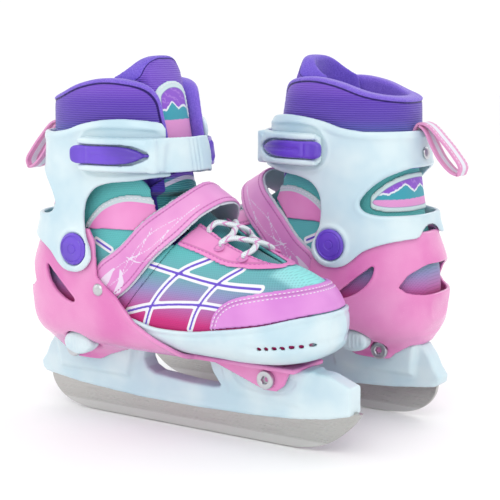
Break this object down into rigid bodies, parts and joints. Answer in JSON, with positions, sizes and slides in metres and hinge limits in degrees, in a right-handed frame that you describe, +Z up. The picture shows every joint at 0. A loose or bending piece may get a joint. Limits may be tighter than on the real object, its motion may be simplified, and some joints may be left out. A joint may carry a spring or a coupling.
{
  "type": "ice skates",
  "caption": "Pair of adjustable children's ice skates with hard lower shells, hinged cuffs, ratchet buckles, instep straps and padded inner boots.",
  "frame": {"origin": "on the ice, under the middle of the pair's bounding box", "axes": "+X the way the right skate points, +Z up, -Y the outer side of both skates"},
  "size_m": [0.3098, 0.2258, 0.271],
  "materials": {
    "steel": "ground and polished runner steel",
    "zinc": "bright zinc plate",
    "spring_steel": "bare spring wire",
    "white_plastic": "moulded, semi-gloss, cool white",
    "pink_plastic": "moulded, gloss",
    "purple_plastic": "moulded, semi-gloss",
    "cap_plastic": "moulded cap, gloss",
    "upper_fabric": "teal to magenta gradient weave",
    "lining": "teal knitted lining",
    "fleece": "purple rib knit and plush",
    "pink_vinyl": "coated, stitched",
    "insole": "foam with cloth cover",
    "lace_cord": "braided cord",
    "webbing": "woven tape"
  },
  "bodies": {
    "chassis": {"right_blade": "steel", "right_blade_holder": "white_plastic", "right_heel_shell": "pink_plastic", "right_front_bolt": "zinc", "right_front_nut": "zinc", "right_rear_bolt": "zinc", "right_rear_nut": "zinc", "right_button_spring": "spring_steel", "right_bootie": "lining", "right_footbed": "insole", "right_instep_strap": "pink_vinyl", "right_strap_rivet": "zinc", "right_pivot_pin_outer": "zinc", "right_pivot_pin_inner": "zinc", "right_pivot_cap_outer": "cap_plastic", "right_pivot_cap_inner": "cap_plastic", "left_blade": "steel", "left_blade_holder": "white_plastic", "left_heel_shell": "pink_plastic", "left_front_bolt": "zinc", "left_front_nut": "zinc", "left_rear_bolt": "zinc", "left_rear_nut": "zinc", "left_button_spring": "spring_steel", "left_bootie": "lining", "left_footbed": "insole", "left_instep_strap": "pink_vinyl", "left_strap_rivet": "zinc", "left_pivot_pin_outer": "zinc", "left_pivot_pin_inner": "zinc", "left_pivot_cap_outer": "cap_plastic", "left_pivot_cap_inner": "cap_plastic"},
    "right_toe_unit": {"right_toe_shell": "white_plastic", "right_vamp": "upper_fabric", "right_toe_cap": "pink_vinyl", "right_lace": "lace_cord"},
    "right_cuff_unit": {"right_cuff": "white_plastic", "right_buckle_frame": "white_plastic", "right_lever_pin": "zinc", "right_ladder_strap": "purple_plastic", "right_collar": "fleece", "right_tongue": "fleece", "right_pull_loop": "webbing", "right_loop_rivet": "zinc"},
    "right_lever": {"right_buckle_lever": "purple_plastic"},
    "right_button": {"right_size_button": "white_plastic"},
    "left_toe_unit": {"left_toe_shell": "white_plastic", "left_vamp": "upper_fabric", "left_toe_cap": "pink_vinyl", "left_lace": "lace_cord"},
    "left_cuff_unit": {"left_cuff": "white_plastic", "left_buckle_frame": "white_plastic", "left_lever_pin": "zinc", "left_ladder_strap": "purple_plastic", "left_collar": "fleece", "left_tongue": "fleece", "left_pull_loop": "webbing", "left_loop_rivet": "zinc"},
    "left_lever": {"left_buckle_lever": "purple_plastic"},
    "left_button": {"left_size_button": "white_plastic"}
  },
  "joints": [
    {"name": "right_size_slide", "type": "slide", "parent": "chassis", "child": "right_toe_unit", "axis": [1, 0, 0], "range_m": [0, 0.024]},
    {"name": "right_ankle_flex", "type": "hinge", "parent": "chassis", "child": "right_cuff_unit", "pos_m": [-0.072, -0.05627, 0.133], "axis": [0, 1, 0], "range_deg": [-3, 7]},
    {"name": "right_lever_open", "type": "hinge", "parent": "right_cuff_unit", "child": "right_lever", "pos_m": [-0.006, -0.09649, 0.202], "axis": [0, 0, 1], "range_deg": [0, 55], "stiffness_Nm_per_rad": 0.03, "springref_deg": -11.46},
    {"name": "right_button_press", "type": "slide", "parent": "chassis", "child": "right_button", "axis": [0, 1, 0], "range_m": [0, 0.003], "stiffness_N_per_m": 900, "springref_m": -0.001, "deforming": ["right_button_spring"]},
    {"name": "left_size_slide", "type": "slide", "parent": "chassis", "child": "left_toe_unit", "axis": [-1, 0, 0], "range_m": [0, 0.024]},
    {"name": "left_ankle_flex", "type": "hinge", "parent": "chassis", "child": "left_cuff_unit", "pos_m": [0.072, 0.06173, 0.133], "axis": [0, -1, 0], "range_deg": [-3, 7]},
    {"name": "left_lever_open", "type": "hinge", "parent": "left_cuff_unit", "child": "left_lever", "pos_m": [0.006, 0.02151, 0.202], "axis": [0, 0, -1], "range_deg": [0, 55], "stiffness_Nm_per_rad": 0.03, "springref_deg": -11.46},
    {"name": "left_button_press", "type": "slide", "parent": "chassis", "child": "left_button", "axis": [0, 1, 0], "range_m": [0, 0.003], "stiffness_N_per_m": 900, "springref_m": -0.001, "deforming": ["left_button_spring"]}
  ]
}
